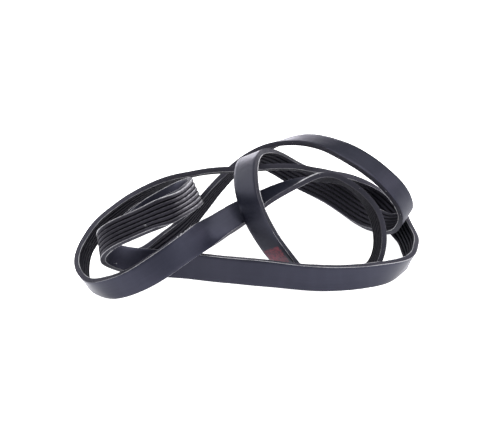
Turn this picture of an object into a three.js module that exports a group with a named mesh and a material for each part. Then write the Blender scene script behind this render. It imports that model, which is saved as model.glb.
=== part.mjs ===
import * as THREE from "three";

// A serpentine (multi-rib) drive belt, one endless moulded band lying folded over itself on a
// surface. Millimetres, +Z up, the surface at z = 0. +X runs along the folded belt's long side.

// Driving dimensions
const RIB_COUNT = 6; // lengthwise ribs on the inner face
const RIB_PITCH = 3.56;
const BELT_WIDTH = RIB_COUNT * RIB_PITCH;
const BELT_THICKNESS = 4.2; // back to rib tips
const RIB_DEPTH = 2.2;
const GROOVE_ANGLE = 40; // degrees, flank to flank
const EDGE_DRAFT = 0.2; // how far the cut edges lean in at the rib tips
const TURN_PER_STEP = 13; // degrees the band may turn or twist between two sections
const LONGEST_STEP = 14;
const SHORTEST_STEP = 2.5;

// The band's middle line, station by station: x, y, z of the middle of the section, then the
// direction across the band. The back lies on the side of (along x across).
const ROUTE = [
  [-63.88, -45.31, 16.75, 0.014, 0.319, 0.948],
  [-53.05, -47.48, 17.18, 0.008, 0.186, 0.983],
  [-42.35, -50.30, 17.52, 0.008, 0.132, 0.991],
  [-31.64, -53.08, 17.76, 0.013, 0.114, 0.993],
  [-20.80, -55.26, 17.77, 0.033, 0.108, 0.994],
  [-9.83, -56.56, 17.39, 0.065, 0.112, 0.992],
  [1.19, -56.99, 16.52, 0.099, 0.121, 0.988],
  [12.18, -56.88, 15.25, 0.122, 0.114, 0.986],
  [23.15, -56.74, 13.85, 0.120, 0.075, 0.990],
  [34.15, -57.06, 12.71, 0.080, 0.047, 0.996],
  [45.14, -58.10, 12.25, 0.007, 0.049, 0.999],
  [56.07, -59.71, 12.70, -0.072, 0.028, 0.997],
  [66.95, -61.34, 13.80, -0.116, -0.016, 0.993],
  [77.91, -62.19, 15.07, -0.104, -0.074, 0.992],
  [88.89, -61.45, 15.97, -0.028, -0.130, 0.991],
  [99.54, -58.54, 16.08, 0.091, -0.147, 0.985],
  [109.17, -53.22, 15.34, 0.238, -0.172, 0.956],
  [117.04, -45.59, 14.20, 0.377, -0.181, 0.908],
  [122.85, -36.26, 13.13, 0.416, -0.110, 0.903],
  [126.93, -26.04, 12.05, 0.332, -0.006, 0.943],
  [129.21, -15.29, 11.07, 0.339, 0.026, 0.941],
  [129.24, -4.23, 10.73, 0.366, 0.026, 0.930],
  [128.22, 6.81, 10.83, 0.308, 0.026, 0.951],
  [126.81, 17.81, 10.77, 0.342, 0.081, 0.936],
  [124.97, 28.69, 10.03, 0.572, 0.205, 0.794],
  [121.72, 39.22, 9.07, 0.769, 0.327, 0.549],
  [117.02, 49.20, 9.50, 0.801, 0.357, 0.480],
  [111.22, 58.01, 12.70, 0.709, 0.168, 0.685],
  [104.41, 64.41, 18.54, 0.564, -0.250, 0.787],
  [96.70, 67.55, 25.77, 0.461, -0.621, 0.634],
  [88.13, 67.22, 32.70, 0.462, -0.783, 0.417],
  [79.10, 63.92, 38.08, 0.545, -0.773, 0.325],
  [70.27, 58.75, 42.30, 0.621, -0.719, 0.312],
  [61.91, 52.90, 46.57, 0.661, -0.688, 0.300],
  [53.77, 46.96, 51.15, 0.662, -0.680, 0.315],
  [45.41, 41.27, 55.62, 0.612, -0.721, 0.325],
  [36.38, 36.15, 59.45, 0.516, -0.753, 0.407],
  [26.50, 31.95, 62.02, 0.364, -0.801, 0.475],
  [15.89, 29.09, 63.07, 0.173, -0.846, 0.505],
  [4.91, 27.98, 62.75, -0.027, -0.868, 0.495],
  [-6.03, 28.79, 61.47, -0.206, -0.859, 0.469],
  [-16.62, 31.30, 59.58, -0.344, -0.818, 0.461],
  [-26.79, 34.87, 57.09, -0.424, -0.794, 0.436],
  [-36.69, 38.70, 53.98, -0.438, -0.806, 0.399],
  [-46.60, 42.14, 50.49, -0.393, -0.831, 0.394],
  [-56.71, 44.54, 46.73, -0.308, -0.835, 0.456],
  [-66.93, 45.22, 42.60, -0.200, -0.813, 0.547],
  [-76.98, 43.76, 38.27, -0.090, -0.754, 0.651],
  [-86.50, 40.11, 34.03, -0.003, -0.652, 0.758],
  [-95.21, 34.48, 30.23, 0.044, -0.516, 0.855],
  [-102.97, 27.27, 27.11, 0.064, -0.380, 0.923],
  [-109.82, 18.91, 24.80, 0.087, -0.274, 0.958],
  [-115.85, 9.79, 23.21, 0.086, -0.189, 0.978],
  [-120.95, 0.05, 22.02, 0.065, -0.145, 0.987],
  [-125.00, -10.16, 20.78, 0.033, -0.145, 0.989],
  [-127.93, -20.68, 19.13, -0.031, -0.168, 0.985],
  [-129.73, -31.38, 17.01, -0.160, -0.192, 0.968],
  [-130.23, -42.14, 14.54, -0.289, -0.228, 0.930],
  [-128.70, -52.79, 12.13, -0.335, -0.280, 0.900],
  [-124.03, -62.62, 10.54, -0.356, -0.336, 0.872],
  [-116.23, -70.36, 10.64, -0.381, -0.373, 0.846],
  [-106.56, -75.01, 13.08, -0.372, -0.240, 0.896],
  [-96.38, -76.92, 16.97, -0.393, -0.154, 0.907],
  [-86.29, -76.72, 21.51, -0.421, -0.079, 0.904],
  [-76.54, -74.71, 26.33, -0.456, 0.022, 0.890],
  [-67.23, -71.04, 31.05, -0.472, 0.071, 0.879],
  [-58.42, -65.85, 35.27, -0.450, 0.078, 0.890],
  [-50.05, -59.42, 38.59, -0.417, 0.134, 0.899],
  [-42.01, -52.16, 40.80, -0.452, 0.282, 0.846],
  [-34.25, -44.37, 42.09, -0.591, 0.489, 0.642],
  [-26.65, -36.37, 42.98, -0.690, 0.608, 0.392],
  [-19.02, -28.42, 44.05, -0.701, 0.642, 0.311],
  [-11.14, -20.81, 45.66, -0.684, 0.679, 0.267],
  [-2.91, -13.80, 47.98, -0.635, 0.767, 0.095],
  [5.75, -7.51, 50.82, -0.529, 0.844, -0.086],
  [14.90, -2.04, 53.80, -0.426, 0.889, -0.168],
  [24.52, 2.62, 56.65, -0.336, 0.914, -0.225],
  [34.51, 6.57, 59.32, -0.247, 0.919, -0.308],
  [44.87, 9.75, 61.58, -0.150, 0.886, -0.439],
  [55.67, 11.81, 62.74, -0.074, 0.800, -0.596],
  [66.67, 12.03, 61.97, -0.048, 0.788, -0.614],
  [77.05, 10.11, 58.81, 0.008, 0.838, -0.545],
  [86.04, 6.39, 53.58, 0.015, 0.810, -0.587],
  [93.34, 1.24, 47.07, -0.025, 0.758, -0.652],
  [98.68, -5.09, 39.76, -0.125, 0.700, -0.703],
  [101.87, -12.32, 32.04, -0.176, 0.685, -0.707],
  [102.70, -20.05, 24.20, -0.212, 0.695, -0.687],
  [101.01, -27.85, 16.55, -0.252, 0.724, -0.642],
  [96.20, -35.03, 9.73, -0.306, 0.800, -0.516],
  [87.81, -40.26, 4.98, -0.279, 0.922, -0.269],
  [77.37, -42.97, 2.67, -0.146, 0.988, -0.047],
  [66.35, -43.84, 2.29, -0.029, 1.000, -0.008],
  [55.37, -43.83, 3.61, -0.016, 0.990, -0.142],
  [44.77, -43.69, 6.75, -0.142, 0.919, -0.367],
  [35.00, -43.66, 11.92, -0.355, 0.767, -0.534],
  [26.56, -43.41, 19.03, -0.570, 0.565, -0.597],
  [19.50, -42.50, 27.49, -0.666, 0.486, -0.566],
  [13.33, -40.71, 36.51, -0.668, 0.492, -0.558],
  [7.74, -37.73, 45.58, -0.673, 0.454, -0.585],
  [2.93, -33.03, 54.36, -0.663, 0.424, -0.617],
  [-0.64, -26.36, 62.39, -0.671, 0.376, -0.639],
  [-2.73, -17.87, 69.14, -0.719, 0.298, -0.628],
  [-3.34, -8.03, 74.10, -0.760, 0.235, -0.606],
  [-2.67, 2.63, 76.93, -0.789, 0.180, -0.587],
  [-0.91, 13.53, 77.42, -0.839, 0.141, -0.526],
  [1.83, 24.05, 75.53, -0.876, 0.141, -0.462],
  [5.49, 33.71, 71.60, -0.866, 0.144, -0.479],
  [10.07, 42.31, 66.36, -0.817, 0.119, -0.564],
  [15.62, 49.84, 60.46, -0.754, 0.082, -0.652],
  [22.11, 56.20, 54.16, -0.719, 0.082, -0.691],
  [29.36, 61.16, 47.45, -0.692, 0.087, -0.716],
  [37.33, 64.71, 40.65, -0.624, 0.021, -0.781],
  [46.13, 67.00, 34.35, -0.512, -0.177, -0.840],
  [55.61, 67.98, 28.75, -0.432, -0.405, -0.806],
  [65.38, 67.43, 23.59, -0.460, -0.504, -0.731],
  [74.89, 65.14, 18.46, -0.540, -0.485, -0.688],
  [83.94, 61.04, 13.61, -0.594, -0.448, -0.668],
  [92.47, 55.13, 9.81, -0.608, -0.459, -0.648],
  [100.34, 47.64, 7.89, -0.629, -0.519, -0.579],
  [107.32, 39.09, 8.22, -0.682, -0.578, -0.447],
  [113.40, 30.20, 10.69, -0.689, -0.600, -0.406],
  [118.64, 21.51, 15.11, -0.613, -0.639, -0.464],
  [122.81, 13.44, 21.40, -0.553, -0.695, -0.459],
  [125.19, 6.66, 29.75, -0.536, -0.744, -0.399],
  [124.57, 2.19, 39.78, -0.448, -0.823, -0.349],
  [120.42, 0.64, 49.84, -0.428, -0.865, -0.261],
  [113.76, 1.96, 58.52, -0.476, -0.865, -0.162],
  [105.98, 5.64, 65.45, -0.532, -0.844, -0.067],
  [97.79, 10.97, 70.61, -0.596, -0.802, -0.038],
  [89.53, 17.37, 74.24, -0.642, -0.766, -0.038],
  [81.33, 24.40, 76.67, -0.665, -0.746, -0.029],
  [73.16, 31.72, 78.11, -0.667, -0.745, 0.003],
  [64.88, 39.04, 78.64, -0.652, -0.756, 0.053],
  [56.38, 46.11, 78.16, -0.626, -0.778, 0.057],
  [47.64, 52.73, 76.67, -0.590, -0.805, 0.065],
  [38.69, 58.68, 74.05, -0.543, -0.834, 0.095],
  [29.60, 63.70, 70.25, -0.502, -0.845, 0.186],
  [20.46, 67.53, 65.36, -0.463, -0.835, 0.299],
  [11.34, 69.95, 59.59, -0.413, -0.823, 0.391],
  [2.34, 70.81, 53.22, -0.355, -0.803, 0.479],
  [-6.42, 69.98, 46.52, -0.286, -0.780, 0.557],
  [-14.76, 67.42, 39.74, -0.209, -0.747, 0.630],
  [-22.57, 63.19, 33.15, -0.165, -0.672, 0.722],
  [-29.72, 57.40, 27.02, -0.122, -0.584, 0.802],
  [-36.23, 50.24, 21.66, -0.085, -0.482, 0.872],
  [-42.19, 42.01, 17.32, -0.031, -0.382, 0.924],
  [-47.67, 32.95, 14.12, 0.006, -0.274, 0.962],
  [-52.73, 23.34, 12.05, -0.011, -0.148, 0.989],
  [-57.53, 13.43, 11.04, -0.065, -0.024, 0.998],
  [-62.39, 3.49, 10.87, -0.114, 0.069, 0.991],
  [-67.71, -6.21, 11.13, -0.113, 0.096, 0.989],
  [-73.96, -15.34, 11.28, -0.028, 0.017, 1.000],
  [-81.57, -23.34, 11.03, 0.111, -0.185, 0.977],
  [-90.99, -29.04, 10.70, 0.119, -0.351, 0.929],
  [-101.86, -29.53, 11.24, 0.019, -0.319, 0.948],
  [-109.36, -22.15, 13.54, -0.017, -0.296, 0.955],
  [-109.14, -11.71, 16.74, 0.068, -0.316, 0.946],
  [-103.91, -2.49, 19.75, -0.055, -0.310, 0.949],
  [-96.47, 4.95, 23.12, -0.325, -0.135, 0.936],
  [-87.92, 10.61, 27.25, -0.487, 0.109, 0.866],
  [-78.66, 14.36, 31.98, -0.509, 0.253, 0.823],
  [-69.09, 16.01, 37.29, -0.494, 0.299, 0.816],
  [-59.75, 15.23, 43.15, -0.472, 0.326, 0.819],
  [-51.38, 11.45, 49.26, -0.415, 0.351, 0.840],
  [-45.24, 4.23, 54.85, -0.369, 0.310, 0.876],
  [-42.88, -5.68, 58.95, -0.414, 0.253, 0.875],
  [-44.79, -16.30, 61.11, -0.367, 0.244, 0.897],
  [-49.94, -26.05, 61.71, -0.215, 0.157, 0.964],
  [-57.03, -34.53, 61.41, -0.222, 0.144, 0.964],
  [-65.19, -41.95, 60.57, -0.438, 0.414, 0.798],
  [-74.05, -48.44, 59.25, -0.534, 0.686, 0.494],
  [-83.52, -53.82, 57.31, -0.472, 0.789, 0.394],
  [-93.48, -57.63, 54.43, -0.382, 0.819, 0.427],
  [-103.39, -59.26, 49.85, -0.299, 0.844, 0.445],
  [-111.15, -57.65, 42.32, -0.243, 0.848, 0.471],
  [-112.35, -52.65, 32.81, -0.136, 0.867, 0.480],
  [-106.06, -47.89, 25.22, -0.044, 0.885, 0.463],
  [-96.53, -45.30, 20.30, 0.042, 0.862, 0.506],
  [-85.90, -44.21, 17.50, 0.075, 0.742, 0.666],
  [-74.89, -44.21, 16.56, 0.045, 0.536, 0.843],
];

// Section in (across, outward) coordinates, anticlockwise seen along the band: the smooth back is
// at +BELT_THICKNESS / 2 and the rib tips are at -BELT_THICKNESS / 2. Both edges are cut nearly
// square from back to tip, so the two outer ribs have a flank on their inner side only.
function section() {
  const half = BELT_WIDTH / 2;
  const top = BELT_THICKNESS / 2;
  const root = -top + RIB_DEPTH;
  const flank = RIB_DEPTH * Math.tan((GROOVE_ANGLE / 2) * (Math.PI / 180));
  const points = [new THREE.Vector2(half, top), new THREE.Vector2(-half, top)];
  points.push(new THREE.Vector2(-half + EDGE_DRAFT, -top));
  for (let i = 1; i < RIB_COUNT; i++) {
    const groove = -half + i * RIB_PITCH;
    points.push(new THREE.Vector2(groove - flank, -top));
    points.push(new THREE.Vector2(groove, root));
    points.push(new THREE.Vector2(groove + flank, -top));
  }
  points.push(new THREE.Vector2(half - EDGE_DRAFT, -top));
  return points;
}

const middle = new THREE.CatmullRomCurve3(
  ROUTE.map((r) => new THREE.Vector3(r[0], r[1], r[2])),
  true,
  "catmullrom",
  0.5,
);
const across = new THREE.CatmullRomCurve3(
  ROUTE.map((r) => new THREE.Vector3(r[3], r[4], r[5])),
  true,
  "catmullrom",
  0.5,
);

// The frame at a place on the route: its point, the direction along, across and outward.
function frameAt(u) {
  const point = middle.getPoint(u);
  const along = middle.getTangent(u);
  const side = across.getPoint(u);
  side.addScaledVector(along, -side.dot(along)).normalize();
  const out = new THREE.Vector3().crossVectors(along, side);
  return { point, along, side, out };
}

// Sections close together where the band turns or twists, further apart where it runs straight.
function stations() {
  const fine = ROUTE.length * 24;
  const frames = [];
  for (let i = 0; i < fine; i++) frames.push(frameAt(i / fine));
  const kept = [frames[0]];
  let last = frames[0];
  let run = 0;
  let turned = 0;
  let before = frames[0];
  for (let i = 1; i < fine; i++) {
    const f = frames[i];
    run += f.point.distanceTo(before.point);
    before = f;
    turned = Math.max(last.along.angleTo(f.along), last.side.angleTo(f.side));
    const close = (turned * 180) / Math.PI >= TURN_PER_STEP;
    if ((close && run >= SHORTEST_STEP) || run >= LONGEST_STEP) {
      kept.push(f);
      last = f;
      run = 0;
    }
  }
  if (last.point.distanceTo(frames[0].point) < SHORTEST_STEP) kept.pop();
  return kept;
}

function sweep() {
  const outline = section();
  const frames = stations();
  const positions = [];
  const corner = new THREE.Vector3();
  for (const f of frames)
    for (const p of outline) {
      corner.copy(f.point).addScaledVector(f.side, p.x).addScaledVector(f.out, p.y);
      positions.push(corner.x, corner.y, corner.z);
    }
  const n = outline.length;
  const indices = [];
  frames.forEach((_, i) => {
    const j = (i + 1) % frames.length;
    for (let k = 0; k < n; k++) {
      const l = (k + 1) % n;
      indices.push(i * n + k, i * n + l, j * n + l, i * n + k, j * n + l, j * n + k);
    }
  });
  const geometry = new THREE.BufferGeometry();
  geometry.setAttribute("position", new THREE.Float32BufferAttribute(positions, 3));
  geometry.setIndex(indices);
  geometry.computeVertexNormals();
  return geometry;
}

const belt = new THREE.Mesh(
  sweep(),
  new THREE.MeshStandardMaterial({ color: 0x24252c, roughness: 0.55, metalness: 0 }),
);
belt.name = "belt";

const part = new THREE.Group();
part.add(belt);
export default part;
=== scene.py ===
import math

import bpy
import numpy as np
from mathutils import Matrix


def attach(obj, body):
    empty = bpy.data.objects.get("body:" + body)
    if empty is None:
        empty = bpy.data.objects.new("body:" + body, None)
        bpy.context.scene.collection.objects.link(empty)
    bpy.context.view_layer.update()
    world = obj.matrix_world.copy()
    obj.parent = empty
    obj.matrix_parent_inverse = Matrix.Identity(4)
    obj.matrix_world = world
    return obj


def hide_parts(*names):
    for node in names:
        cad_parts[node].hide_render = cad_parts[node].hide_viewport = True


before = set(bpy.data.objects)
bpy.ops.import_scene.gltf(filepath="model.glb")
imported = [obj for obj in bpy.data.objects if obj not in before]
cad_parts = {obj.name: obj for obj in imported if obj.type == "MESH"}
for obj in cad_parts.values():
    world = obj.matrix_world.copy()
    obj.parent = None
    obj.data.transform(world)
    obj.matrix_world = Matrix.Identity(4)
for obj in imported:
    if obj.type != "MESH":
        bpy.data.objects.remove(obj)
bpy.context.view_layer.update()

# ---------------------------------------------------------------- sizes, in millimetres
RIB_COUNT = 6
RIB_PITCH = 3.56
WIDTH = RIB_COUNT * RIB_PITCH
THICK = 4.2
RIB_DEPTH = 2.2
GROOVE_ANGLE = 40.0
SECTIONS = 1200
MM = 0.001

# The band's middle line, the same stations as the CAD part: x, y, z, then the direction across.
ROUTE = [
    (-63.88, -45.31, 16.75, 0.014, 0.319, 0.948),
    (-53.05, -47.48, 17.18, 0.008, 0.186, 0.983),
    (-42.35, -50.30, 17.52, 0.008, 0.132, 0.991),
    (-31.64, -53.08, 17.76, 0.013, 0.114, 0.993),
    (-20.80, -55.26, 17.77, 0.033, 0.108, 0.994),
    (-9.83, -56.56, 17.39, 0.065, 0.112, 0.992),
    (1.19, -56.99, 16.52, 0.099, 0.121, 0.988),
    (12.18, -56.88, 15.25, 0.122, 0.114, 0.986),
    (23.15, -56.74, 13.85, 0.120, 0.075, 0.990),
    (34.15, -57.06, 12.71, 0.080, 0.047, 0.996),
    (45.14, -58.10, 12.25, 0.007, 0.049, 0.999),
    (56.07, -59.71, 12.70, -0.072, 0.028, 0.997),
    (66.95, -61.34, 13.80, -0.116, -0.016, 0.993),
    (77.91, -62.19, 15.07, -0.104, -0.074, 0.992),
    (88.89, -61.45, 15.97, -0.028, -0.130, 0.991),
    (99.54, -58.54, 16.08, 0.091, -0.147, 0.985),
    (109.17, -53.22, 15.34, 0.238, -0.172, 0.956),
    (117.04, -45.59, 14.20, 0.377, -0.181, 0.908),
    (122.85, -36.26, 13.13, 0.416, -0.110, 0.903),
    (126.93, -26.04, 12.05, 0.332, -0.006, 0.943),
    (129.21, -15.29, 11.07, 0.339, 0.026, 0.941),
    (129.24, -4.23, 10.73, 0.366, 0.026, 0.930),
    (128.22, 6.81, 10.83, 0.308, 0.026, 0.951),
    (126.81, 17.81, 10.77, 0.342, 0.081, 0.936),
    (124.97, 28.69, 10.03, 0.572, 0.205, 0.794),
    (121.72, 39.22, 9.07, 0.769, 0.327, 0.549),
    (117.02, 49.20, 9.50, 0.801, 0.357, 0.480),
    (111.22, 58.01, 12.70, 0.709, 0.168, 0.685),
    (104.41, 64.41, 18.54, 0.564, -0.250, 0.787),
    (96.70, 67.55, 25.77, 0.461, -0.621, 0.634),
    (88.13, 67.22, 32.70, 0.462, -0.783, 0.417),
    (79.10, 63.92, 38.08, 0.545, -0.773, 0.325),
    (70.27, 58.75, 42.30, 0.621, -0.719, 0.312),
    (61.91, 52.90, 46.57, 0.661, -0.688, 0.300),
    (53.77, 46.96, 51.15, 0.662, -0.680, 0.315),
    (45.41, 41.27, 55.62, 0.612, -0.721, 0.325),
    (36.38, 36.15, 59.45, 0.516, -0.753, 0.407),
    (26.50, 31.95, 62.02, 0.364, -0.801, 0.475),
    (15.89, 29.09, 63.07, 0.173, -0.846, 0.505),
    (4.91, 27.98, 62.75, -0.027, -0.868, 0.495),
    (-6.03, 28.79, 61.47, -0.206, -0.859, 0.469),
    (-16.62, 31.30, 59.58, -0.344, -0.818, 0.461),
    (-26.79, 34.87, 57.09, -0.424, -0.794, 0.436),
    (-36.69, 38.70, 53.98, -0.438, -0.806, 0.399),
    (-46.60, 42.14, 50.49, -0.393, -0.831, 0.394),
    (-56.71, 44.54, 46.73, -0.308, -0.835, 0.456),
    (-66.93, 45.22, 42.60, -0.200, -0.813, 0.547),
    (-76.98, 43.76, 38.27, -0.090, -0.754, 0.651),
    (-86.50, 40.11, 34.03, -0.003, -0.652, 0.758),
    (-95.21, 34.48, 30.23, 0.044, -0.516, 0.855),
    (-102.97, 27.27, 27.11, 0.064, -0.380, 0.923),
    (-109.82, 18.91, 24.80, 0.087, -0.274, 0.958),
    (-115.85, 9.79, 23.21, 0.086, -0.189, 0.978),
    (-120.95, 0.05, 22.02, 0.065, -0.145, 0.987),
    (-125.00, -10.16, 20.78, 0.033, -0.145, 0.989),
    (-127.93, -20.68, 19.13, -0.031, -0.168, 0.985),
    (-129.73, -31.38, 17.01, -0.160, -0.192, 0.968),
    (-130.23, -42.14, 14.54, -0.289, -0.228, 0.930),
    (-128.70, -52.79, 12.13, -0.335, -0.280, 0.900),
    (-124.03, -62.62, 10.54, -0.356, -0.336, 0.872),
    (-116.23, -70.36, 10.64, -0.381, -0.373, 0.846),
    (-106.56, -75.01, 13.08, -0.372, -0.240, 0.896),
    (-96.38, -76.92, 16.97, -0.393, -0.154, 0.907),
    (-86.29, -76.72, 21.51, -0.421, -0.079, 0.904),
    (-76.54, -74.71, 26.33, -0.456, 0.022, 0.890),
    (-67.23, -71.04, 31.05, -0.472, 0.071, 0.879),
    (-58.42, -65.85, 35.27, -0.450, 0.078, 0.890),
    (-50.05, -59.42, 38.59, -0.417, 0.134, 0.899),
    (-42.01, -52.16, 40.80, -0.452, 0.282, 0.846),
    (-34.25, -44.37, 42.09, -0.591, 0.489, 0.642),
    (-26.65, -36.37, 42.98, -0.690, 0.608, 0.392),
    (-19.02, -28.42, 44.05, -0.701, 0.642, 0.311),
    (-11.14, -20.81, 45.66, -0.684, 0.679, 0.267),
    (-2.91, -13.80, 47.98, -0.635, 0.767, 0.095),
    (5.75, -7.51, 50.82, -0.529, 0.844, -0.086),
    (14.90, -2.04, 53.80, -0.426, 0.889, -0.168),
    (24.52, 2.62, 56.65, -0.336, 0.914, -0.225),
    (34.51, 6.57, 59.32, -0.247, 0.919, -0.308),
    (44.87, 9.75, 61.58, -0.150, 0.886, -0.439),
    (55.67, 11.81, 62.74, -0.074, 0.800, -0.596),
    (66.67, 12.03, 61.97, -0.048, 0.788, -0.614),
    (77.05, 10.11, 58.81, 0.008, 0.838, -0.545),
    (86.04, 6.39, 53.58, 0.015, 0.810, -0.587),
    (93.34, 1.24, 47.07, -0.025, 0.758, -0.652),
    (98.68, -5.09, 39.76, -0.125, 0.700, -0.703),
    (101.87, -12.32, 32.04, -0.176, 0.685, -0.707),
    (102.70, -20.05, 24.20, -0.212, 0.695, -0.687),
    (101.01, -27.85, 16.55, -0.252, 0.724, -0.642),
    (96.20, -35.03, 9.73, -0.306, 0.800, -0.516),
    (87.81, -40.26, 4.98, -0.279, 0.922, -0.269),
    (77.37, -42.97, 2.67, -0.146, 0.988, -0.047),
    (66.35, -43.84, 2.29, -0.029, 1.000, -0.008),
    (55.37, -43.83, 3.61, -0.016, 0.990, -0.142),
    (44.77, -43.69, 6.75, -0.142, 0.919, -0.367),
    (35.00, -43.66, 11.92, -0.355, 0.767, -0.534),
    (26.56, -43.41, 19.03, -0.570, 0.565, -0.597),
    (19.50, -42.50, 27.49, -0.666, 0.486, -0.566),
    (13.33, -40.71, 36.51, -0.668, 0.492, -0.558),
    (7.74, -37.73, 45.58, -0.673, 0.454, -0.585),
    (2.93, -33.03, 54.36, -0.663, 0.424, -0.617),
    (-0.64, -26.36, 62.39, -0.671, 0.376, -0.639),
    (-2.73, -17.87, 69.14, -0.719, 0.298, -0.628),
    (-3.34, -8.03, 74.10, -0.760, 0.235, -0.606),
    (-2.67, 2.63, 76.93, -0.789, 0.180, -0.587),
    (-0.91, 13.53, 77.42, -0.839, 0.141, -0.526),
    (1.83, 24.05, 75.53, -0.876, 0.141, -0.462),
    (5.49, 33.71, 71.60, -0.866, 0.144, -0.479),
    (10.07, 42.31, 66.36, -0.817, 0.119, -0.564),
    (15.62, 49.84, 60.46, -0.754, 0.082, -0.652),
    (22.11, 56.20, 54.16, -0.719, 0.082, -0.691),
    (29.36, 61.16, 47.45, -0.692, 0.087, -0.716),
    (37.33, 64.71, 40.65, -0.624, 0.021, -0.781),
    (46.13, 67.00, 34.35, -0.512, -0.177, -0.840),
    (55.61, 67.98, 28.75, -0.432, -0.405, -0.806),
    (65.38, 67.43, 23.59, -0.460, -0.504, -0.731),
    (74.89, 65.14, 18.46, -0.540, -0.485, -0.688),
    (83.94, 61.04, 13.61, -0.594, -0.448, -0.668),
    (92.47, 55.13, 9.81, -0.608, -0.459, -0.648),
    (100.34, 47.64, 7.89, -0.629, -0.519, -0.579),
    (107.32, 39.09, 8.22, -0.682, -0.578, -0.447),
    (113.40, 30.20, 10.69, -0.689, -0.600, -0.406),
    (118.64, 21.51, 15.11, -0.613, -0.639, -0.464),
    (122.81, 13.44, 21.40, -0.553, -0.695, -0.459),
    (125.19, 6.66, 29.75, -0.536, -0.744, -0.399),
    (124.57, 2.19, 39.78, -0.448, -0.823, -0.349),
    (120.42, 0.64, 49.84, -0.428, -0.865, -0.261),
    (113.76, 1.96, 58.52, -0.476, -0.865, -0.162),
    (105.98, 5.64, 65.45, -0.532, -0.844, -0.067),
    (97.79, 10.97, 70.61, -0.596, -0.802, -0.038),
    (89.53, 17.37, 74.24, -0.642, -0.766, -0.038),
    (81.33, 24.40, 76.67, -0.665, -0.746, -0.029),
    (73.16, 31.72, 78.11, -0.667, -0.745, 0.003),
    (64.88, 39.04, 78.64, -0.652, -0.756, 0.053),
    (56.38, 46.11, 78.16, -0.626, -0.778, 0.057),
    (47.64, 52.73, 76.67, -0.590, -0.805, 0.065),
    (38.69, 58.68, 74.05, -0.543, -0.834, 0.095),
    (29.60, 63.70, 70.25, -0.502, -0.845, 0.186),
    (20.46, 67.53, 65.36, -0.463, -0.835, 0.299),
    (11.34, 69.95, 59.59, -0.413, -0.823, 0.391),
    (2.34, 70.81, 53.22, -0.355, -0.803, 0.479),
    (-6.42, 69.98, 46.52, -0.286, -0.780, 0.557),
    (-14.76, 67.42, 39.74, -0.209, -0.747, 0.630),
    (-22.57, 63.19, 33.15, -0.165, -0.672, 0.722),
    (-29.72, 57.40, 27.02, -0.122, -0.584, 0.802),
    (-36.23, 50.24, 21.66, -0.085, -0.482, 0.872),
    (-42.19, 42.01, 17.32, -0.031, -0.382, 0.924),
    (-47.67, 32.95, 14.12, 0.006, -0.274, 0.962),
    (-52.73, 23.34, 12.05, -0.011, -0.148, 0.989),
    (-57.53, 13.43, 11.04, -0.065, -0.024, 0.998),
    (-62.39, 3.49, 10.87, -0.114, 0.069, 0.991),
    (-67.71, -6.21, 11.13, -0.113, 0.096, 0.989),
    (-73.96, -15.34, 11.28, -0.028, 0.017, 1.000),
    (-81.57, -23.34, 11.03, 0.111, -0.185, 0.977),
    (-90.99, -29.04, 10.70, 0.119, -0.351, 0.929),
    (-101.86, -29.53, 11.24, 0.019, -0.319, 0.948),
    (-109.36, -22.15, 13.54, -0.017, -0.296, 0.955),
    (-109.14, -11.71, 16.74, 0.068, -0.316, 0.946),
    (-103.91, -2.49, 19.75, -0.055, -0.310, 0.949),
    (-96.47, 4.95, 23.12, -0.325, -0.135, 0.936),
    (-87.92, 10.61, 27.25, -0.487, 0.109, 0.866),
    (-78.66, 14.36, 31.98, -0.509, 0.253, 0.823),
    (-69.09, 16.01, 37.29, -0.494, 0.299, 0.816),
    (-59.75, 15.23, 43.15, -0.472, 0.326, 0.819),
    (-51.38, 11.45, 49.26, -0.415, 0.351, 0.840),
    (-45.24, 4.23, 54.85, -0.369, 0.310, 0.876),
    (-42.88, -5.68, 58.95, -0.414, 0.253, 0.875),
    (-44.79, -16.30, 61.11, -0.367, 0.244, 0.897),
    (-49.94, -26.05, 61.71, -0.215, 0.157, 0.964),
    (-57.03, -34.53, 61.41, -0.222, 0.144, 0.964),
    (-65.19, -41.95, 60.57, -0.438, 0.414, 0.798),
    (-74.05, -48.44, 59.25, -0.534, 0.686, 0.494),
    (-83.52, -53.82, 57.31, -0.472, 0.789, 0.394),
    (-93.48, -57.63, 54.43, -0.382, 0.819, 0.427),
    (-103.39, -59.26, 49.85, -0.299, 0.844, 0.445),
    (-111.15, -57.65, 42.32, -0.243, 0.848, 0.471),
    (-112.35, -52.65, 32.81, -0.136, 0.867, 0.480),
    (-106.06, -47.89, 25.22, -0.044, 0.885, 0.463),
    (-96.53, -45.30, 20.30, 0.042, 0.862, 0.506),
    (-85.90, -44.21, 17.50, 0.075, 0.742, 0.666),
    (-74.89, -44.21, 16.56, 0.045, 0.536, 0.843),
]
R = np.array(ROUTE)


# ---------------------------------------------------------------- the route as a smooth closed curve
class Loop:
    """A periodic cubic spline through equally spaced stations."""

    def __init__(self, p):
        self.p, n = p, len(p)
        m = np.zeros((n, n))
        for i in range(n):
            m[i, i] = 4.0
            m[i, (i - 1) % n] = m[i, (i + 1) % n] = 1.0
        self.d = np.linalg.solve(m, 3.0 * (np.roll(p, -1, 0) - np.roll(p, 1, 0)))

    def at(self, u):
        n = len(self.p)
        i = np.floor(u).astype(int) % n
        j = (i + 1) % n
        t = (u - np.floor(u))[:, None]
        return (
            (2 * t**3 - 3 * t**2 + 1) * self.p[i]
            + (t**3 - 2 * t**2 + t) * self.d[i]
            + (-2 * t**3 + 3 * t**2) * self.p[j]
            + (t**3 - t**2) * self.d[j]
        )

    def slope(self, u):
        n = len(self.p)
        i = np.floor(u).astype(int) % n
        j = (i + 1) % n
        t = (u - np.floor(u))[:, None]
        return (
            (6 * t**2 - 6 * t) * self.p[i]
            + (3 * t**2 - 4 * t + 1) * self.d[i]
            + (-6 * t**2 + 6 * t) * self.p[j]
            + (3 * t**2 - 2 * t) * self.d[j]
        )


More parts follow.
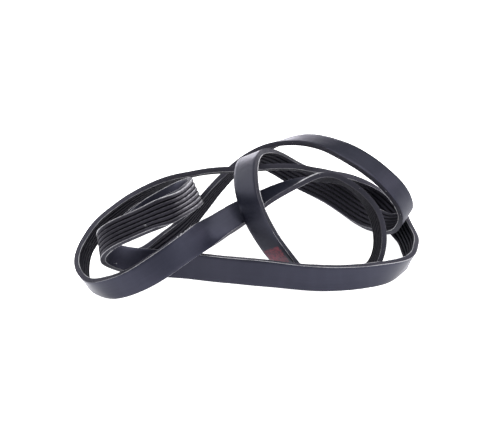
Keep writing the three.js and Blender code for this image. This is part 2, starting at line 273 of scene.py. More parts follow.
middle, across = Loop(R[:, :3]), Loop(R[:, 3:])


def unit(a):
    return a / np.linalg.norm(a, axis=-1, keepdims=True)


def frames(u):
    c = middle.at(u)
    t = unit(middle.slope(u))
    b = across.at(u)
    b = unit(b - (b * t).sum(-1, keepdims=True) * t)
    return c, t, b, np.cross(t, b)


fine = np.linspace(0, len(R), 20001)
_p = middle.at(fine)
_run = np.concatenate([[0.0], np.cumsum(np.linalg.norm(np.diff(_p, axis=0), axis=1))])
LENGTH = float(_run[-1])


def station_at(s):
    """Route parameter at a run of s millimetres along the band."""
    return np.interp(np.mod(s, LENGTH), _run, fine)


# ---------------------------------------------------------------- smooth seeded noise along the band
def wander(seed, waves, n):
    """A periodic wandering value, standard deviation about 1, with the given number of waves round the loop."""
    g = np.random.default_rng(seed)
    x = np.arange(n) / n * 2 * np.pi
    out = np.zeros(n)
    for k in range(24):
        f = g.integers(max(1, waves // 3), waves)
        out += g.normal() * np.cos(f * x + g.uniform(0, 2 * np.pi))
    return out / math.sqrt(12)


# ---------------------------------------------------------------- section
def rib_depth(x):
    """Depth below the groove bottom at x from a rib's middle, a trapezoid with rounded tip and groove."""
    flank = RIB_DEPTH * math.tan(math.radians(GROOVE_ANGLE / 2))
    k = np.linspace(-0.45, 0.45, 61)
    wt = np.exp(-((k / 0.17) ** 2))
    wt /= wt.sum()
    half = RIB_PITCH / 2

    def raw(v):
        v = (v + half) % RIB_PITCH - half
        return np.clip((half - np.abs(v)) / flank, 0, 1) * RIB_DEPTH

    return sum(w * raw(x + d) for w, d in zip(wt, k))


half, top = WIDTH / 2, THICK / 2
root = -top + RIB_DEPTH
section = []  # across, outward, kind: 0 back, 1 ribs, 2 cut edge on the + side, 3 cut edge on the - side
CH = 0.22
for x in np.linspace(half - CH, -half + CH, 9):
    section.append((x, top, 0))
section.append((-half + 0.06, top - 0.06, 3))
section.append((-half, top - CH, 3))
section.append((-half, (top + root) / 2, 3))
section.append((-half, root + 0.05, 3))
locals_ = [-1.78, -1.52, -1.2, -0.94, -0.55, 0.55, 0.94, 1.2, 1.52]
for r in range(RIB_COUNT):
    mid = -half + (r + 0.5) * RIB_PITCH
    for k, x in enumerate(locals_):
        if r == 0 and k == 0:
            continue
        side = -1 if r == 0 and x < -0.5 else 1 if r == RIB_COUNT - 1 and x > 0.5 else 0
        if side:
            inset, y = {1.52: (0.04, root - 0.7), 1.2: (0.10, root - 1.4), 0.94: (0.18, -top + 0.22), 0.55: (0.50, -top)}[abs(x)]
            section.append((side * (half - inset), y, 1 if abs(x) < 0.6 else 2 if side > 0 else 3))
        else:
            section.append((mid + x, root - float(rib_depth(np.array(x))), 1))
section.append((half, root + 0.05, 2))
section.append((half, (top + root) / 2, 2))
section.append((half, top - CH, 2))
section.append((half - 0.06, top - 0.06, 2))
SEC = np.array([(a, b) for a, b, _ in section])
K = len(SEC)

s_run = np.arange(SECTIONS) / SECTIONS * LENGTH

# How pale each corner of the cut is, by run (mm): the back's corner and the rib tip's; partly frayed fibres, partly
# painted highlight where the cut face catches the light.
FRAY_AND_GLINT = {
    (1, "back"): ((0, 1.0), (205, 1.0), (215, 0.8), (255, 0.6), (268, 0.0), (650, 0.0), (672, 0.6), (700, 0.75), (830, 0.6), (850, 0.1), (1200, 0.1), (1240, 0.6), (1338, 0.6), (1348, 0.0), (1555, 0.0), (1575, 0.4), (1720, 0.5), (1745, 0.9), (1803, 0.9), (1815, 0.2), (1860, 0.15), (1900, 0.5), (1991, 0.9)),
    (1, "tip"): ((0, 0.5), (200, 0.5), (215, 1.0), (248, 0.8), (258, 0.25), (300, 0.35), (430, 0.6), (480, 0.3), (550, 0.5), (600, 0.9), (685, 0.9), (700, 0.05), (830, 0.05), (850, 0.1), (1200, 0.1), (1240, 0.3), (1338, 0.4), (1350, 0.9), (1410, 0.9), (1425, 0.15), (1560, 0.1), (1600, 0.3), (1720, 0.3), (1815, 0.4), (1835, 1.0), (1930, 1.0), (1991, 0.5)),
    (-1, "back"): ((0, 0.6), (720, 0.5), (740, 0.3), (760, 0.3), (795, 0.3), (810, 0.25), (848, 0.25), (860, 1.0), (872, 1.0), (878, 0.0), (1040, 0.2), (1090, 0.15), (1150, 0.0), (1225, 0.0), (1240, 0.5), (1840, 0.7), (1900, 1.0), (1991, 0.8)),
    (-1, "tip"): ((0, 0.3), (740, 0.3), (760, 0.5), (800, 0.8), (850, 0.7), (872, 0.40), (885, 0.10), (900, 0.07), (930, 0.10), (965, 0.20), (1040, 0.1), (1080, 0.2), (1098, 1.0), (1150, 1.0), (1180, 0.4), (1225, 0.3), (1840, 0.5), (1991, 0.5)),
}


# How pale the cut itself is, by run: paler in some stretches, dark in others.
CUT_PALENESS = {
    1: ((0, 0.9), (150, 0.9), (190, 0.7), (230, 0.8), (300, 1.0), (480, 0.8), (560, 0.75), (610, 0.75), (650, 1.0), (680, 0.6), (700, 0.05), (760, 0.05), (1300, 0.4), (1345, 0.1), (1405, 0.1), (1440, 0.8), (1520, 0.9), (1600, 0.7), (1780, 0.2), (1815, 0.0), (1900, 0.0), (1991, 0.5)),
    -1: ((0, 0.4), (720, 0.5), (745, 1.0), (850, 1.0), (872, 0.5), (900, 0.35), (960, 0.5), (1060, 0.2), (1120, 0.3), (1150, 0.6), (1210, 0.8), (1260, 0.4), (1991, 0.4)),
}


def pale_at(s, sgn, corner):
    a = np.array(CUT_PALENESS[sgn] if corner == "cut_pale" else FRAY_AND_GLINT[(sgn, corner)], float)
    return np.interp(np.mod(s, LENGTH), a[:, 0], a[:, 1])


C, T, B, N = frames(station_at(s_run))

# The cut edges aren't quite straight, and their corners are a little ragged.
off = np.zeros((SECTIONS, K, 2))
off[:, :, 0] += 0.0
for k, (a, w, kind) in enumerate(section):
    if kind in (2, 3):
        sgn = 1 if kind == 2 else -1
        off[:, k, 0] += sgn * (-0.03 + 0.02 * wander(40 + kind, 90, SECTIONS) + 0.018 * wander(700 + k, 620, SECTIONS))
        off[:, k, 1] += 0.012 * wander(900 + k, 500, SECTIONS)

# A small chip in one rib's tip.
NICK_S, NICK_X = 1890.0, -5.34
for k, (a, w, kind) in enumerate(section):
    if kind == 1 and abs(a - NICK_X) < 1.3:
        off[:, k, 1] += 0.75 * np.exp(-(((s_run - NICK_S) / 1.6) ** 2)) * (1.0 if abs(a - NICK_X) < 0.6 else 0.45)

P = C[:, None, :] + (SEC[None, :, 0:1] + off[:, :, 0:1]) * B[:, None, :] + (SEC[None, :, 1:2] + off[:, :, 1:2]) * N[:, None, :]
verts = (P.reshape(-1, 3)) * MM

i = np.arange(SECTIONS)[:, None]
k = np.arange(K)[None, :]
j, l = (i + 1) % SECTIONS, (k + 1) % K
quads = np.stack([i * K + k, i * K + l, j * K + l, j * K + k], -1).reshape(-1, 4)

# Which material each strip of the section takes: back, ribs, cut edge.
strip = np.zeros(K, int)
for q in range(K):
    a, b = section[q], section[(q + 1) % K]
    mx = (a[0] + b[0]) / 2
    if a[2] == 0 and b[2] == 0:
        strip[q] = 0
    elif a[2] == 1 and b[2] == 1:
        strip[q] = 1
    elif a[2] in (2, 3) or b[2] in (2, 3):
        strip[q] = 2


def mesh_from(name, v, f):
    me = bpy.data.meshes.new(name)
    me.vertices.add(len(v))
    me.vertices.foreach_set("co", np.asarray(v, np.float32).ravel())
    n = f.shape[1]
    me.loops.add(f.size)
    me.loops.foreach_set("vertex_index", f.astype(np.int32).ravel())
    me.polygons.add(len(f))
    me.polygons.foreach_set("loop_start", np.arange(0, f.size, n, dtype=np.int32))
    me.update(calc_edges=True)
    me.validate()
    return me


# ---------------------------------------------------------------- threads and lint at the cut edges
rng = np.random.default_rng(11)
th_v, th_f, th_at = [], [], []  # points, faces, and (run, across, outward) of every point


def tube(points, radius, where):
    """A three-sided thread through points (mm), radius per point, where it lies on the band per point."""
    points = np.asarray(points, float)
    d = unit(np.gradient(points, axis=0))
    u = unit(np.cross(d, np.where(np.abs(d[:, 2:3]) > 0.9, [[1.0, 0, 0]], [[0, 0, 1.0]])))
    w = np.cross(d, u)
    n = len(points)
    first = sum(len(x) for x in th_v)
    ring = []
    for q in range(3):
        a = 2 * math.pi * q / 3
        ring.append(points + radius[:, None] * (math.cos(a) * u + math.sin(a) * w))
    th_v.append(np.stack(ring, 1).reshape(-1, 3))
    th_at.append(np.repeat(where, 3, axis=0))
    for m in range(n - 1):
        for q in range(3):
            r = (q + 1) % 3
            th_f.append((first + m * 3 + q, first + m * 3 + r, first + (m + 1) * 3 + r, first + (m + 1) * 3 + q))


def edge_thread(s0, length, sgn, y, r, at=None):
    n = max(4, int(length / 1.9))
    s = s0 + np.linspace(0, length, n)
    c, _, b, nn = frames(station_at(s))
    x = sgn * ((half - 0.02) if at is None else at) + 0.025 * np.interp(np.arange(n), np.arange(0, n + 3, 3), rng.normal(size=len(np.arange(0, n + 3, 3))))
    yy = y + 0.025 * np.interp(np.arange(n), np.arange(0, n + 3, 3), rng.normal(size=len(np.arange(0, n + 3, 3))))
    rr = r * np.clip(np.sin(np.linspace(0.05, math.pi - 0.05, n)) * 2.2, 0.15, 1.0)
    tube(c + x[:, None] * b + yy[:, None] * nn, rr, np.stack([s, x, yy], 1))


for sgn in (1, -1):
    for corner, y, at, size in (("back", top - 0.14, None, 0.19), ("tip", -top + 0.18, half - 0.12, 0.19)):
        s = rng.uniform(0, 20)
        while s < LENGTH - 70:
            length = rng.uniform(9, 42)
            w = min(float(pale_at(s, sgn, corner)), float(pale_at(s + length, sgn, corner)))
            if w > 0.12:
                edge_thread(s, length, sgn, y, size * math.sqrt(w) * rng.uniform(0.7, 1.15), at)
            s += length + rng.exponential(length * 0.12 / max(w, 0.15)) * 0.7


# thick pale threads at the rib-tip corner: along the arch they are painted highlight where the cut face catches the
# light; along the front ribbed strand they are frayed threads that also carry that strand's painted highlight
s = 1096.0
while s < 1146.0:
    edge_thread(s, 24.0, -1, -top + 0.15, 0.31, half - 0.10)
    s += 19.0
s = 1826.0
while s < 1950.0:
    edge_thread(s, 26.0, 1, -top + 0.06, 0.43 if s < 1875 else 0.36, half - 0.20)
    s += 22.0

# painted highlight: a pale thread along the back's corner stands in for a bright streak on that edge
edge_thread(853.0, 21.0, -1, top - 0.02, 0.52)


def hair(s0, x, y, length, r, lift=1.0, pts=6):
    """A loose fibre that starts on the band and curls away from it."""
    c, tt, b, nn = (q[0] for q in frames(station_at(np.array([s0]))))
    p = c + x * b + y * nn
    out = unit(rng.normal() * 0.9 * tt + np.sign(x) * lift * abs(rng.normal(1.0, 0.4)) * b + rng.normal(0.3, 0.6) * nn)
    turn = unit(rng.normal(size=3))
    pts_, q = [], p
    for _ in range(pts):
        pts_.append(q)
        q = q + out * length / (pts - 1)
        out = unit(out + 0.55 * np.cross(turn, out))
        q[2] = max(q[2], 0.1)
    tube(pts_, r * np.linspace(1, 0.5, pts), np.tile([s0, x, y], (pts, 1)))


for _ in range(150):
    sgn = rng.choice([1, -1])
    hair(rng.uniform(0, LENGTH), sgn * half, rng.choice([top - 0.1, root + 0.2, 1.0]), rng.uniform(0.6, 2.2), rng.uniform(0.035, 0.06))
# lint caught on the edge above the left loop's near side, and one hair inside the loop
for s0, tufts in ((739.5, 1), (743.5, 5), (748.0, 5), (753.0, 2)):
    for _ in range(tufts):
        hair(s0 + rng.normal() * 0.7, half, top - 0.05, rng.uniform(0.9, 2.4), rng.uniform(0.18, 0.34), 0.8)
hair(1950.0, -7.0, top + 0.08, 6.0, 0.12, 0.2, 9)
# a torn fibre at the chip
hair(NICK_S, NICK_X, -top - 0.10, 2.6, 0.20, 0.15, 5)
hair(NICK_S + 1.0, NICK_X + 0.5, -top - 0.05, 1.8, 0.18, 0.9, 4)

th_v = np.concatenate(th_v)
th_at = np.concatenate(th_at)
quads_all = np.concatenate([quads, np.array(th_f) + len(verts)])
me = mesh_from("belt_band", np.concatenate([verts, th_v * MM]), quads_all)
me.polygons.foreach_set("material_index", np.concatenate([np.tile(strip, SECTIONS), np.full(len(th_f), 3)]).astype(np.int32))
me.polygons.foreach_set("use_smooth", np.ones(len(quads_all), bool))
me.set_sharp_from_angle(angle=math.radians(38))

# Where a vertex lies on the band: round the loop as a circle (so no seam shows) and across, in metres;
# and plainly as run, across, outward.
ang = s_run / LENGTH * 2 * np.pi
rad = LENGTH / (2 * np.pi) * MM
lay = np.zeros((SECTIONS, K, 3))
lay[:, :, 0] = (rad * np.cos(ang))[:, None]
lay[:, :, 1] = (rad * np.sin(ang))[:, None]
lay[:, :, 2] = SEC[None, :, 0] * MM
sec = np.zeros((SECTIONS, K, 3))
sec[:, :, 0] = s_run[:, None] * MM
sec[:, :, 1] = SEC[None, :, 0] * MM
sec[:, :, 2] = SEC[None, :, 1] * MM
th_ang = th_at[:, 0] / LENGTH * 2 * np.pi
th_lay = np.stack([rad * np.cos(th_ang), rad * np.sin(th_ang), th_at[:, 1] * MM], 1)
lines = np.zeros((SECTIONS, K, 3))
for q, (a, w, kind) in enumerate(section):
    sgn = 1 if a > 0 else -1
    lines[:, q, 0], lines[:, q, 1], lines[:, q, 2] = (pale_at(s_run, sgn, c) for c in ("back", "tip", "cut_pale"))
for nm, arr, more in (("lay", lay, th_lay), ("sec", sec, th_at * MM), ("lines", lines, th_lay * 0.0)):
    at = me.attributes.new(nm, "FLOAT_VECTOR", "POINT")
    at.data.foreach_set("vector", np.concatenate([arr.reshape(-1, 3), more]).ravel().astype(np.float32))

belt = bpy.data.objects.new("belt_band", me)
bpy.context.scene.collection.objects.link(belt)


# ---------------------------------------------------------------- materials
class Tree:
    def __init__(self, name):
        self.mat = bpy.data.materials.new(name)
        self.mat.use_nodes = True
        self.t = self.mat.node_tree
        self.t.nodes.clear()
        self.out = self.new("ShaderNodeOutputMaterial")
        self.bsdf = self.new("ShaderNodeBsdfPrincipled")
        self.link(self.bsdf.outputs["BSDF"], self.out.inputs["Surface"])

    def new(self, kind, **props):
        n = self.t.nodes.new(kind)
        for a, b in props.items():
            setattr(n, a, b)
        return n

    def link(self, a, b):
        self.t.links.new(a, b)

    def attr(self, name):
        return self.new("ShaderNodeAttribute", attribute_name=name).outputs["Vector"]

    def coord(self):
        return self.new("ShaderNodeTexCoord").outputs["Object"]

    def scaled(self, vec, scale):
        n = self.new("ShaderNodeMapping", vector_type="POINT")
        n.inputs["Scale"].default_value = scale
        self.link(vec, n.inputs["Vector"])
        return n.outputs["Vector"]

    def noise(self, vec, scale, detail=3.0, rough=0.55, distort=0.0, out="Fac"):
        n = self.new("ShaderNodeTexNoise")
        n.inputs["Scale"].default_value = scale
        n.inputs["Detail"].default_value = detail
        n.inputs["Roughness"].default_value = rough
        n.inputs["Distortion"].default_value = distort
        self.link(vec, n.inputs["Vector"])
        return n.outputs[out]

    def ramp(self, fac, stops, interp="LINEAR"):
        n = self.new("ShaderNodeValToRGB")
        n.color_ramp.interpolation = interp
        e = n.color_ramp.elements
        while len(e) < len(stops):
            e.new(0.5)
        for x, (pos, col) in zip(e, stops):
            x.position = pos
            x.color = (*col, 1) if len(col) == 3 else col
        self.link(fac, n.inputs["Fac"])
        return n.outputs["Color"]

    def grade(self, fac, lo, hi, a=0.0, b=1.0, smooth=False):
        n = self.new("ShaderNodeMapRange", interpolation_type="SMOOTHSTEP" if smooth else "LINEAR")
        n.inputs["From Min"].default_value = lo
        n.inputs["From Max"].default_value = hi
        n.inputs["To Min"].default_value = a
        n.inputs["To Max"].default_value = b
        self.link(fac, n.inputs["Value"])
        return n.outputs["Result"]

    def math(self, op, a, b=None, c=None):
        n = self.new("ShaderNodeMath", operation=op)
        for q, v in enumerate((a, b, c)):
            if v is None:
                continue
            if isinstance(v, (int, float)):
                n.inputs[q].default_value = v
            else:
                self.link(v, n.inputs[q])
        return n.outputs[0]

    def mix(self, fac, a, b, blend="MIX"):
        n = self.new("ShaderNodeMix", data_type="RGBA", blend_type=blend)
        for q, v in ((0, fac), (6, a), (7, b)):
            if isinstance(v, (int, float)):
                n.inputs[q].default_value = v
            elif isinstance(v, tuple):
                n.inputs[q].default_value = (*v, 1)
            else:
                self.link(v, n.inputs[q])
        return n.outputs[2]

    def split(self, vec):
        n = self.new("ShaderNodeSeparateXYZ")
        self.link(vec, n.inputs[0])
        return n.outputs

    def bump(self, height, strength, distance, normal=None):
        n = self.new("ShaderNodeBump")
        n.inputs["Strength"].default_value = strength
        n.inputs["Distance"].default_value = distance
        self.link(height, n.inputs["Height"])
        if normal is not None:
            self.link(normal, n.inputs["Normal"])
        return n.outputs["Normal"]


def back_material():
    t = Tree("smooth_back")
    lay_, sec_, obj = t.attr("lay"), t.attr("sec"), t.coord()
    s = t.split(sec_)
    blotch = t.noise(obj, 26.0, 3.0, 0.5)
    streak = t.noise(t.scaled(lay_, (1.0, 1.0, 14.0)), 34.0, 4.0, 0.6)
    bars = t.noise(t.scaled(lay_, (1.0, 1.0, 0.10)), 150.0, 3.0, 0.55)
    grain = t.noise(lay_, 1500.0, 2.0, 0.6)
    pebble = t.noise(lay_, 620.0, 3.0, 0.6)
    tone = t.ramp(blotch, [(0.3, BACK_LO), (0.7, BACK_HI)])
    tone = t.mix(t.grade(streak, 0.35, 0.75, 0.0, 0.40), tone, BACK_STREAK)
    tone = t.mix(t.grade(bars, 0.50, 0.78, 0.0, 0.35), tone, BACK_STREAK)
    tone = t.mix(t.grade(grain, 0.60, 0.82, 0.0, 0.35), tone, (0.040, 0.043, 0.054))
    # painted shade: the first stretch of the front strand's back is painted darker, as if in shade under the strand
    # crossing it
    painted_shade_near_start = t.grade(s[0], 0.050, 0.150, 1.0, 0.0, smooth=True)
    tone = t.mix(t.math("MULTIPLY", painted_shade_near_start, 0.6), tone, (0.0016, 0.0020, 0.0040))
    # painted light: two stretches of the back seen from inside the left loop are painted paler, as if lit more
    # strongly
    painted_light_loop = t.math("MAXIMUM", t.math("MULTIPLY", t.grade(s[0], 1.715, 1.735, smooth=True), t.grade(s[0], 1.800, 1.830, 1.0, 0.0, smooth=True)), t.math("MULTIPLY", t.grade(s[0], 1.925, 1.945, smooth=True), t.grade(s[0], 1.972, 1.988, 1.0, 0.0, smooth=True)))
    tone = t.mix(t.math("MULTIPLY", painted_light_loop, 0.5), tone, (0.029, 0.029, 0.043))
    shaded = t.math("MULTIPLY", t.grade(s[0], 1.030, 1.050, smooth=True), t.grade(s[0], 1.085, 1.110, 1.0, 0.0, smooth=True))
    tone = t.mix(t.math("MULTIPLY", shaded, 0.6), tone, (0.0016, 0.0018, 0.0036))
    # a worn field of red ink, printed on the back
    u0, u1, v0, v1 = RED
    ragged = t.noise(lay_, 420.0, 4.0, 0.7)
    rag = t.math("MULTIPLY", t.math("SUBTRACT", ragged, 0.5), 0.0050)
    inu = t.math("MULTIPLY", t.grade(t.math("ADD", s[0], rag), u0 - 0.0008, u0 + 0.0008), t.grade(t.math("ADD", s[0], rag), u1 - 0.0010, u1 + 0.0010, 1.0, 0.0))
    inv = t.math("MULTIPLY", t.grade(t.math("ADD", s[1], rag), v0 - 0.0006, v0 + 0.0006), t.grade(t.math("ADD", s[1], rag), v1 - 0.0006, v1 + 0.0006, 1.0, 0.0))
    worn = t.grade(t.noise(lay_, 520.0, 5.0, 0.8), 0.36, 0.58, 0.25, 1.0)
    ink = t.math("MULTIPLY", t.math("MULTIPLY", inu, inv), worn)
    red = t.ramp(t.noise(lay_, 300.0, 3.0, 0.6), [(0.3, (0.190, 0.018, 0.028)), (0.7, (0.420, 0.036, 0.052))])
    tone = t.mix(t.math("MULTIPLY", ink, 0.9), tone, red)
    t.link(tone, t.bsdf.inputs["Base Color"])
    rough = t.grade(t.noise(obj, 60.0, 3.0, 0.6), 0.3, 0.7, BACK_ROUGH - 0.05, BACK_ROUGH + 0.05)
    rough = t.math("ADD", rough, t.grade(grain, 0.3, 0.8, -0.02, 0.06))
    rough = t.math("ADD", rough, t.grade(bars, 0.4, 0.8, 0.0, -0.04))
    scuffed = t.math("MULTIPLY", t.grade(s[0], 1.352, 1.366, smooth=True), t.grade(s[0], 1.380, 1.396, 1.0, 0.0, smooth=True))
    rough = t.math("ADD", rough, t.math("MULTIPLY", scuffed, 0.22))
    t.link(rough, t.bsdf.inputs["Roughness"])
    n1 = t.bump(pebble, 0.12, 0.00015)
    n2 = t.bump(grain, 0.22, 0.00008, n1)
    n3 = t.bump(streak, 0.10, 0.00020, n2)
    t.link(n3, t.bsdf.inputs["Normal"])
    t.bsdf.inputs["Specular IOR Level"].default_value = BACK_SPEC
    t.bsdf.inputs["Sheen Weight"].default_value = 0.34
    t.bsdf.inputs["Sheen Roughness"].default_value = 0.18
    t.bsdf.inputs["Sheen Tint"].default_value = (0.86, 0.84, 1.0, 1)
    t.bsdf.inputs["Specular Tint"].default_value = (*TINT, 1)
    return t.mat


def rib_material():
    t = Tree("ribbed_face")
    lay_, sec_, obj = t.attr("lay"), t.attr("sec"), t.coord()
    s = t.split(sec_)
    fibre = t.noise(t.scaled(lay_, (1.0, 1.0, 0.35)), 1500.0, 4.0, 0.7)
    coarse = t.noise(lay_, 380.0, 4.0, 0.65)
    blotch = t.noise(obj, 40.0, 3.0, 0.5)
    tone = t.ramp(blotch, [(0.3, (0.0078, 0.0074, 0.0100)), (0.7, (0.0125, 0.0120, 0.0160))])
    tone = t.mix(t.grade(fibre, 0.55, 0.78, 0.0, 0.5), tone, (0.024, 0.022, 0.030))
    # rib tips are rubbed a little paler than the grooves; on the front ribbed strand they are palest at the tips' two
    # corners, where thin pale lines are painted highlights
    tip = t.grade(s[2], -0.0021, -0.0014, 1.0, 0.0)
    tone = t.mix(t.math("MULTIPLY", tip, t.grade(coarse, 0.4, 0.7, 0.1, 0.5)), tone, (0.015, 0.014, 0.019))
    across_ = t.math("PINGPONG", t.math("ADD", s[1], WIDTH * MM / 2 + RIB_PITCH * MM / 2), RIB_PITCH * MM / 2)
    off_ = t.math("ABSOLUTE", t.math("SUBTRACT", across_, 0.00098))
    ridge_glint = t.math("MULTIPLY", t.grade(off_, 0.00008, 0.00022, 1.0, 0.0), t.grade(t.noise(t.scaled(lay_, (1.0, 1.0, 4.0)), 300.0, 3.0, 0.6), 0.35, 0.65))
    lean_ = t.math("SUBTRACT", t.math("FLOORED_MODULO", t.math("ADD", s[1], WIDTH * MM / 2), RIB_PITCH * MM), RIB_PITCH * MM / 2)
    corner_glint_ = t.math("MULTIPLY", t.grade(t.math("ABSOLUTE", t.math("SUBTRACT", lean_, 0.00085)), 0.00018, 0.00042, 1.0, 0.0), t.grade(t.noise(t.scaled(lay_, (1.0, 1.0, 4.0)), 300.0, 3.0, 0.6), 0.30, 0.60))
    up_ = t.math("MULTIPLY", t.grade(s[0], 1.780, 1.815, smooth=True), t.grade(s[0], 1.945, 1.970, 1.0, 0.0, smooth=True))
    tone = t.mix(t.math("MULTIPLY", t.math("MULTIPLY", ridge_glint, RIDGE_GLINT), up_), tone, (0.110, 0.106, 0.125))
    # painted fill light: outside the front ribbed strand the grooves are painted paler, offsetting the shade that
    # falls in them
    tone = t.mix(t.math("MULTIPLY", t.grade(s[2], -0.0016, -0.0004), t.math("SUBTRACT", 1.0, up_)), tone, (0.022, 0.021, 0.027))
    # paler on the far strand that shows its ribs
    paler_far_ribs = t.math("MULTIPLY", t.grade(s[0], 1.215, 1.245, smooth=True), t.grade(s[0], 1.320, 1.345, 1.0, 0.0, smooth=True))
    tone = t.mix(t.math("MULTIPLY", paler_far_ribs, 0.90), tone, (0.038, 0.037, 0.046))
    # painted fill light: the grooves of the far strands are painted paler, offsetting the shade that falls in them
    groove_fill_ = t.math("MAXIMUM", t.math("MULTIPLY", t.grade(s[0], 1.140, 1.165, smooth=True), t.grade(s[0], 1.330, 1.355, 1.0, 0.0, smooth=True)), t.math("MULTIPLY", t.grade(s[0], 1.555, 1.580, smooth=True), t.grade(s[0], 1.700, 1.730, 1.0, 0.0, smooth=True)))
    tone = t.mix(t.math("MULTIPLY", t.math("MULTIPLY", groove_fill_, 0.75), t.grade(s[2], -0.0016, -0.0002)), tone, (0.085, 0.082, 0.098))
    # painted highlight: the ribs are painted pale where the band bends sharply outward, palest on thin lines at the
    # tips' corners
    bend_glint = t.math("MULTIPLY", t.grade(s[0], BEND_GLINT[0], BEND_GLINT[1], smooth=True), t.grade(s[0], BEND_GLINT[2], BEND_GLINT[3], 1.0, 0.0, smooth=True))
    # painted light: the front ribbed strand is painted paler at its rib tips, with thin pale painted-highlight lines
    # at the tips' corners
    lit_strand_ = t.math("MULTIPLY", t.grade(s[0], 1.822, 1.834, smooth=True), t.grade(s[0], 1.930, 1.950, 1.0, 0.0, smooth=True))
    tone = t.mix(t.math("MULTIPLY", t.math("MULTIPLY", lit_strand_, t.grade(s[2], -0.0020, -0.0010, 1.0, 0.1)), 0.25), tone, (0.050, 0.047, 0.056))
    tone = t.mix(t.math("MULTIPLY", t.math("MULTIPLY", lit_strand_, corner_glint_), 0.36), tone, (0.19, 0.185, 0.21))
    grit = t.grade(t.noise(t.scaled(lay_, (1.0, 1.0, 3.0)), 420.0, 4.0, 0.7), 0.30, 0.65, 0.15, 1.0)
    tone = t.mix(t.math("MULTIPLY", t.math("MULTIPLY", bend_glint, t.grade(s[2], -0.0020, 0.0000, 1.0, 0.0)), t.math("MULTIPLY", grit, 0.55)), tone, (0.30, 0.29, 0.33))
    tone = t.mix(t.math("MULTIPLY", t.math("MULTIPLY", bend_glint, corner_glint_), 0.8), tone, (0.78, 0.77, 0.82))
    # the chip's torn rubber
    nick = t.math("MULTIPLY", t.grade(t.math("ABSOLUTE", t.math("SUBTRACT", s[0], NICK_S * MM)), 0.0005, 0.0012, 1.0, 0.0), t.grade(t.math("ABSOLUTE", t.math("SUBTRACT", s[1], NICK_X * MM)), 0.0010, 0.0015, 1.0, 0.0))
    tone = t.mix(t.math("MULTIPLY", nick, 0.7), tone, (0.10, 0.10, 0.11))
    t.link(tone, t.bsdf.inputs["Base Color"])
    rough = t.math("ADD", t.grade(fibre, 0.3, 0.7, 0.50, 0.75), t.math("MULTIPLY", t.math("SUBTRACT", 1.0, up_), 0.20))
    t.link(rough, t.bsdf.inputs["Roughness"])
    n1 = t.bump(coarse, 0.45, 0.00022)
    n2 = t.bump(fibre, 0.55, 0.00014, n1)
    t.link(n2, t.bsdf.inputs["Normal"])
    t.bsdf.inputs["Specular IOR Level"].default_value = RIB_SPEC
    t.bsdf.inputs["Specular Tint"].default_value = (*TINT, 1)
    return t.mat


def edge_material():
    t = Tree("cut_edge")
    lay_, sec_ = t.attr("lay"), t.attr("sec")
    s = t.split(sec_)
    rough_n = t.noise(sec_, 1100.0, 4.0, 0.7)
    slow = t.noise(lay_, 60.0, 3.0, 0.5)
    tone = t.ramp(rough_n, [(0.3, EDGE_LO), (0.7, EDGE_HI)])
    # pale lines along both corners of the cut, partly frayed fibres and partly painted highlight where the edge
    # catches the light, and a fainter one at the cords
    patchy = t.grade(t.noise(sec_, 620.0, 3.0, 0.7), 0.30, 0.52, 0.45, 1.0)
    line = t.split(t.attr("lines"))
    tone = t.mix(t.math("MULTIPLY", line[2], t.grade(rough_n, 0.25, 0.7, 0.75, 1.0)), tone, EDGE_PALE)
    for amount, at in ((line[0], t.grade(s[2], 0.00155, 0.00185)), (line[1], t.grade(s[2], -0.00190, -0.00155, 1.0, 0.0))):
        pale = t.math("MULTIPLY", t.math("MULTIPLY", at, patchy), t.grade(slow, 0.32, 0.60, 0.50, 1.0))
        tone = t.mix(t.math("MULTIPLY", pale, amount), tone, EDGE_LINE)
    cord = t.math("MULTIPLY", t.grade(s[2], 0.0006, 0.0008), t.grade(s[2], 0.0011, 0.0013, 1.0, 0.0))
    tone = t.mix(t.math("MULTIPLY", t.math("MULTIPLY", cord, t.grade(rough_n, 0.42, 0.6)), 0.4), tone, (0.060, 0.060, 0.066))
    t.link(tone, t.bsdf.inputs["Base Color"])
    t.link(t.grade(rough_n, 0.3, 0.7, 0.50, 0.72), t.bsdf.inputs["Roughness"])
    n1 = t.bump(rough_n, 0.6, 0.00022)
    t.link(n1, t.bsdf.inputs["Normal"])
    t.bsdf.inputs["Specular IOR Level"].default_value = EDGE_SPEC
    t.bsdf.inputs["Specular Tint"].default_value = (*TINT, 1)
    return t.mat


def thread_material():
    t = Tree("frayed_thread_and_glint")
    lay_ = t.attr("lay")
    tone = t.ramp(t.noise(lay_, 900.0, 3.0, 0.6), [(0.3, (0.40, 0.40, 0.43)), (0.7, (0.74, 0.74, 0.77))])
    t.link(tone, t.bsdf.inputs["Base Color"])
    t.bsdf.inputs["Roughness"].default_value = 0.75
    t.bsdf.inputs["Specular IOR Level"].default_value = 0.3
    return t.mat


# base colours and finish
TINT = (0.72, 0.72, 1.0)
BACK_LO, BACK_HI, BACK_STREAK = (0.0050, 0.0060, 0.0120), (0.0095, 0.0110, 0.0200), (0.0170, 0.0190, 0.0310)
BACK_ROUGH, BACK_SPEC = 0.38, 0.50
RIB_SPEC, RIDGE_GLINT = 0.22, 0.25
CLEAN_END = 1.130
BEND_GLINT = (1.822, 1.834, 1.844, 1.866)
EDGE_LO, EDGE_HI, EDGE_LINE, EDGE_SPEC = (0.008, 0.008, 0.011), (0.016, 0.016, 0.021), (0.46, 0.46, 0.49), 0.40
EDGE_PALE = (0.052, 0.050, 0.062)

# run along the band in metres, and across
RED = (1.0485, 1.0650, -0.0065, 0.0097)

for m in (back_material(), rib_material(), edge_material(), thread_material()):
    me.materials.append(m)

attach(belt, "root")
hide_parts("belt")

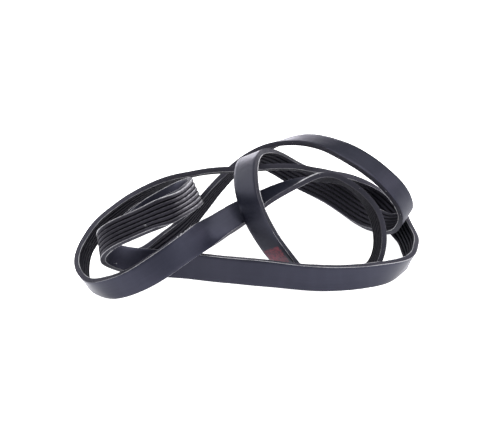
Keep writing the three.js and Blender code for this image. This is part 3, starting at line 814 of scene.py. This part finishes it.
# ---------------------------------------------------------------- floor, light, camera
fl = mesh_from("floor", np.array([(-6, -6, 0), (6, -6, 0), (6, 6, 0), (-6, 6, 0)], float), np.array([[0, 1, 2, 3]]))
floor = bpy.data.objects.new("floor", fl)
bpy.context.scene.collection.objects.link(floor)
ft = Tree("pale_floor")
ft.bsdf.inputs["Base Color"].default_value = (0.93, 0.93, 0.93, 1)
ft.bsdf.inputs["Roughness"].default_value = 0.35
ft.bsdf.inputs["Specular IOR Level"].default_value = 0.3
# the table is lit from below as well, so that it stays white inside the loops
ft.bsdf.inputs["Emission Color"].default_value = (1.0, 1.0, 1.0, 1)
depth = ft.split(ft.coord())[1]
glow = ft.grade(depth, -0.42, -0.14, 0.30, 1.1, smooth=True)
glow = ft.math("ADD", glow, ft.grade(depth, 0.12, 0.40, 0.0, 0.9, smooth=True))
glow = ft.math("ADD", glow, ft.grade(ft.split(ft.coord())[0], -0.138, -0.108, 1.1, 0.0, smooth=True))
glow = ft.math("ADD", glow, ft.grade(ft.split(ft.coord())[0], 0.120, 0.165, 0.0, 0.5, smooth=True))
ft.link(glow, ft.bsdf.inputs["Emission Strength"])
fl.materials.append(ft.mat)

world = bpy.data.worlds.new("studio")
bpy.context.scene.world = world
world.use_nodes = True
world.node_tree.nodes["Background"].inputs["Color"].default_value = (1.0, 1.0, 1.0, 1)
world.node_tree.nodes["Background"].inputs["Strength"].default_value = 0.25


def area(name, loc, target, size, power, colour=(1, 1, 1)):
    d = bpy.data.lights.new(name, "AREA")
    d.shape = "RECTANGLE"
    d.size, d.size_y = size
    d.energy = power
    d.color = colour
    o = bpy.data.objects.new(name, d)
    z = unit(np.array(loc, float) - np.array(target, float))
    x = unit(np.cross([0, 0, 1.0], z)) if abs(z[2]) < 0.999 else np.array([1.0, 0, 0])
    y = np.cross(z, x)
    m = Matrix.Identity(4)
    for r in range(3):
        m[r][0], m[r][1], m[r][2], m[r][3] = x[r], y[r], z[r], loc[r]
    o.matrix_world = m
    bpy.context.scene.collection.objects.link(o)
    return o


area("top_softbox", (0.0, 0.25, 1.3), (0, 0, 0), (1.6, 1.2), 15.0)
area("left_softbox", (-1.18, 0.55, 0.37), (0, 0, 0.03), (1.3, 0.6), 4.8)
area("right_softbox", (1.18, 0.15, 0.85), (0, 0, 0.03), (1.3, 0.7), 4.9, (1.0, 0.95, 1.0))
area("front_right_softbox", (1.13, -0.53, 0.36), (0, 0, 0.03), (0.9, 0.6), 3.0)
area("back_strip", (-0.2, 3.0, 0.12), (0, 0, 0.1), (3.4, 0.22), 16.0, (0.90, 0.86, 1.0))

CAM = np.array((-0.008302055, -0.778330489, 0.459135048))
AIM = np.array((0.000575952, 0.879525963, -0.475850554))
UP = np.array((-0.001074233, 0.475850902, 0.879525307))
cam_data = bpy.data.cameras.new("camera")
cam_data.sensor_width = 36.0
cam_data.sensor_fit = "HORIZONTAL"
cam_data.lens = 1106.4444 * 36.0 / 480.0
cam_data.clip_start, cam_data.clip_end = 0.01, 50
cam = bpy.data.objects.new("camera", cam_data)
zc = -unit(AIM)
xc = unit(np.cross(UP, zc))
yc = np.cross(zc, xc)
cm = Matrix.Identity(4)
for r in range(3):
    cm[r][0], cm[r][1], cm[r][2], cm[r][3] = xc[r], yc[r], zc[r], CAM[r]
cam.matrix_world = cm
bpy.context.scene.collection.objects.link(cam)
bpy.context.scene.camera = cam
bpy.context.scene.view_settings.view_transform = "Standard"
